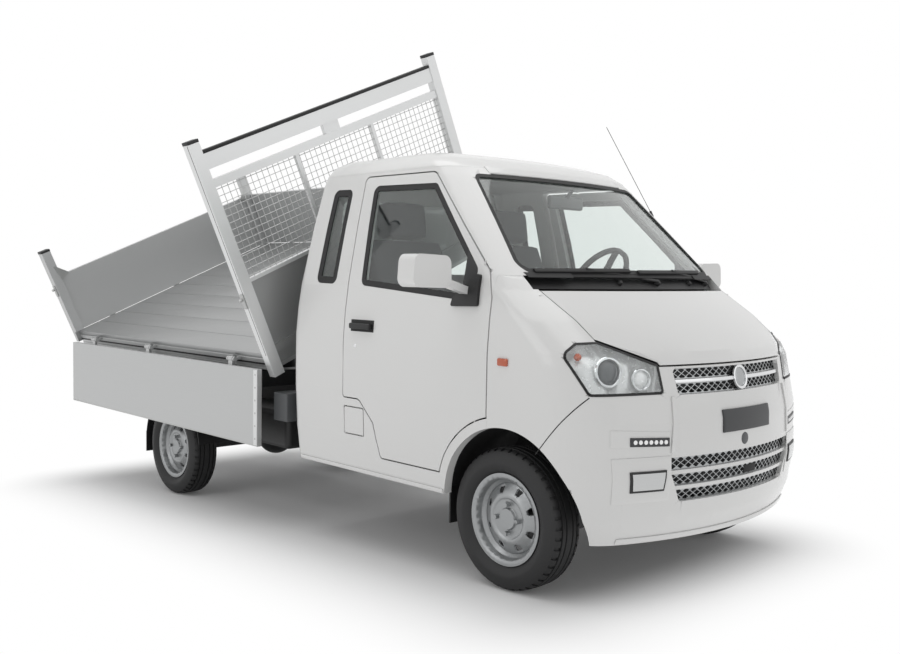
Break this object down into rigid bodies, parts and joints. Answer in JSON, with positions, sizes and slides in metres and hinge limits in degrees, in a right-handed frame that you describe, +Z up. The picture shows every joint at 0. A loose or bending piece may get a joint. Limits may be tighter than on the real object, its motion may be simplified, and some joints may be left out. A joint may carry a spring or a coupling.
{
  "type": "three-way tipper truck",
  "caption": "Small cab-over tipper truck with an aluminium drop-side bed, shown tipped to its right with that side board hanging open.",
  "frame": {"origin": "on the floor, under the middle of the standing truck's overall box with its bed tipped", "axes": "+X forward along the truck, +Y to its left, +Z up"},
  "size_m": [4.5279, 2.3376, 2.5214],
  "materials": {
    "white_paint": "gloss",
    "black_plastic": "satin",
    "dark_steel": "satin",
    "glass": "gloss",
    "chrome": "polished",
    "lamp": "gloss",
    "red_lamp": "gloss",
    "grey_fabric": "woven",
    "aluminium": "anodised",
    "silver_steel": "satin",
    "tyre": "matte"
  },
  "bodies": {
    "chassis": {"chassis_frame": "dark_steel", "engine_block": "dark_steel", "propshaft": "dark_steel", "rear_axle": "dark_steel", "leaf_springs": "dark_steel", "front_suspension": "dark_steel", "fuel_tank": "black_plastic", "exhaust": "dark_steel", "power_pack": "aluminium", "mud_guards": "black_plastic", "tipper_frame": "dark_steel", "tail_lamps": "red_lamp", "cab_floor": "dark_steel", "cab_sides": "white_paint", "cab_roof": "white_paint", "cab_back": "white_paint", "fenders": "white_paint", "front_bumper": "white_paint", "grille": "chrome", "cowl": "black_plastic", "windshield": "glass", "cab_glass": "glass", "headlamps": "glass", "small_lamps": "lamp", "dashboard": "black_plastic", "seats": "grey_fabric"},
    "hood": {"hood": "white_paint"},
    "fuel_flap": {"fuel_flap": "white_paint"},
    "door_right": {"door_right": "white_paint", "door_glass_right": "glass", "mirror_right": "white_paint"},
    "door_left": {"door_left": "white_paint", "door_glass_left": "glass", "mirror_left": "white_paint"},
    "steering_wheel": {"steering_wheel": "black_plastic"},
    "knuckle_left": {"knuckle_left": "dark_steel"},
    "knuckle_right": {"knuckle_right": "dark_steel"},
    "bed": {"bed_floor": "aluminium", "bed_frame": "dark_steel", "headboard": "aluminium", "headboard_mesh": "aluminium", "rear_posts": "aluminium"},
    "side_board_right": {"side_board_right": "aluminium"},
    "side_board_left": {"side_board_left": "aluminium"},
    "tailgate": {"tailgate": "aluminium"},
    "cylinder_barrel": {"cylinder_barrel": "dark_steel"},
    "cylinder_stage": {"cylinder_stage": "chrome"},
    "cylinder_ram": {"cylinder_ram": "chrome"},
    "wheel_front_left": {"rim_front_left": "silver_steel", "tyre_front_left": "tyre"},
    "wheel_front_right": {"rim_front_right": "silver_steel", "tyre_front_right": "tyre"},
    "wheel_rear_left": {"rim_rear_left": "silver_steel", "tyre_rear_left": "tyre"},
    "wheel_rear_right": {"rim_rear_right": "silver_steel", "tyre_rear_right": "tyre"}
  },
  "joints": [
    {"name": "door_right_hinge", "type": "hinge", "parent": "chassis", "child": "door_right", "pos_m": [1.52415, -0.663, 0.66773], "axis": [0.0327, 0.0776, 0.9965], "range_deg": [0, 62]},
    {"name": "door_left_hinge", "type": "hinge", "parent": "chassis", "child": "door_left", "pos_m": [1.52415, 0.882, 0.66773], "axis": [-0.0327, 0.0776, -0.9965], "range_deg": [0, 62]},
    {"name": "hood_hinge", "type": "hinge", "parent": "chassis", "child": "hood", "pos_m": [1.77429, 0.1095, 1.15579], "axis": [0, -1, 0], "range_deg": [0, 50]},
    {"name": "fuel_flap_hinge", "type": "hinge", "parent": "chassis", "child": "fuel_flap", "pos_m": [0.8054, -0.66, 0.59577], "axis": [0.0328, 0, 0.9995], "range_deg": [0, 100]},
    {"name": "steer_left", "type": "hinge", "parent": "chassis", "child": "knuckle_left", "pos_m": [1.6315, 0.7415, 0.2805], "axis": [0.0328, 0, 0.9995], "range_deg": [-34, 34]},
    {"name": "steer_right", "type": "hinge", "parent": "chassis", "child": "knuckle_right", "pos_m": [1.6315, -0.5225, 0.2805], "axis": [0.0328, 0, 0.9995], "range_deg": [-34, 34]},
    {"name": "steering_wheel_turn", "type": "hinge", "parent": "chassis", "child": "steering_wheel", "pos_m": [1.23206, 0.4795, 1.21861], "axis": [-0.8302, 0, 0.5575], "range_deg": [-547.4, 547.4]},
    {"name": "wheel_front_left_spin", "type": "hinge", "parent": "knuckle_left", "child": "wheel_front_left", "pos_m": [1.6315, 0.7645, 0.2805], "axis": [0, 1, 0], "continuous": true},
    {"name": "wheel_front_right_spin", "type": "hinge", "parent": "knuckle_right", "child": "wheel_front_right", "pos_m": [1.6315, -0.5455, 0.2805], "axis": [0, 1, 0], "continuous": true},
    {"name": "wheel_rear_left_spin", "type": "hinge", "parent": "chassis", "child": "wheel_rear_left", "pos_m": [-1.0985, 0.7595, 0.2805], "axis": [0, 1, 0], "continuous": true},
    {"name": "wheel_rear_right_spin", "type": "hinge", "parent": "chassis", "child": "wheel_rear_right", "pos_m": [-1.0985, -0.5405, 0.2805], "axis": [0, 1, 0], "continuous": true},
    {"name": "bed_tip", "type": "hinge", "parent": "chassis", "child": "bed", "pos_m": [-0.91057, -0.5905, 0.86871], "axis": [0.9995, 0, -0.0328], "range_deg": [-23.5, 13.5]},
    {"name": "side_board_right_hinge", "type": "hinge", "parent": "bed", "child": "side_board_right", "pos_m": [-1.064, -0.72667, 0.87343], "axis": [-0.9995, 0, 0.0328], "range_deg": [-8, 156.5]},
    {"name": "side_board_left_hinge", "type": "hinge", "parent": "bed", "child": "side_board_left", "pos_m": [-1.04242, 0.78648, 1.53101], "axis": [-0.9995, 0, 0.0328], "range_deg": [0, 178]},
    {"name": "tailgate_hinge", "type": "hinge", "parent": "bed", "child": "tailgate", "pos_m": [-2.24407, 0.02991, 1.24131], "axis": [-0.0131, -0.9171, -0.3985], "range_deg": [0, 178]},
    {"name": "cylinder_swing", "type": "hinge", "parent": "chassis", "child": "cylinder_barrel", "pos_m": [-0.9209, 0.1095, 0.55388], "axis": [0.9995, 0, -0.0328], "range_deg": [-8.93, 5.56]},
    {"name": "cylinder_stage_slide", "type": "slide", "parent": "cylinder_barrel", "child": "cylinder_stage", "axis": [0.0326, -0.1023, 0.9942], "range_m": [-0.14084, 0.08176]},
    {"name": "cylinder_ram_slide", "type": "slide", "parent": "cylinder_stage", "child": "cylinder_ram", "axis": [0.0326, -0.1023, 0.9942], "range_m": [-0.14084, 0.08176]}
  ],
  "couplings": [
    {"joint": "steer_right", "follows": "steer_left", "ratio": 1},
    {"joint": "steering_wheel_turn", "follows": "steer_left", "ratio": 16},
    {"joint": "cylinder_swing", "follows": "bed_tip", "ratio": 0.3375},
    {"joint": "cylinder_stage_slide", "follows": "bed_tip", "m_per_rad": 0.3385},
    {"joint": "cylinder_ram_slide", "follows": "bed_tip", "m_per_rad": 0.3385}
  ]
}
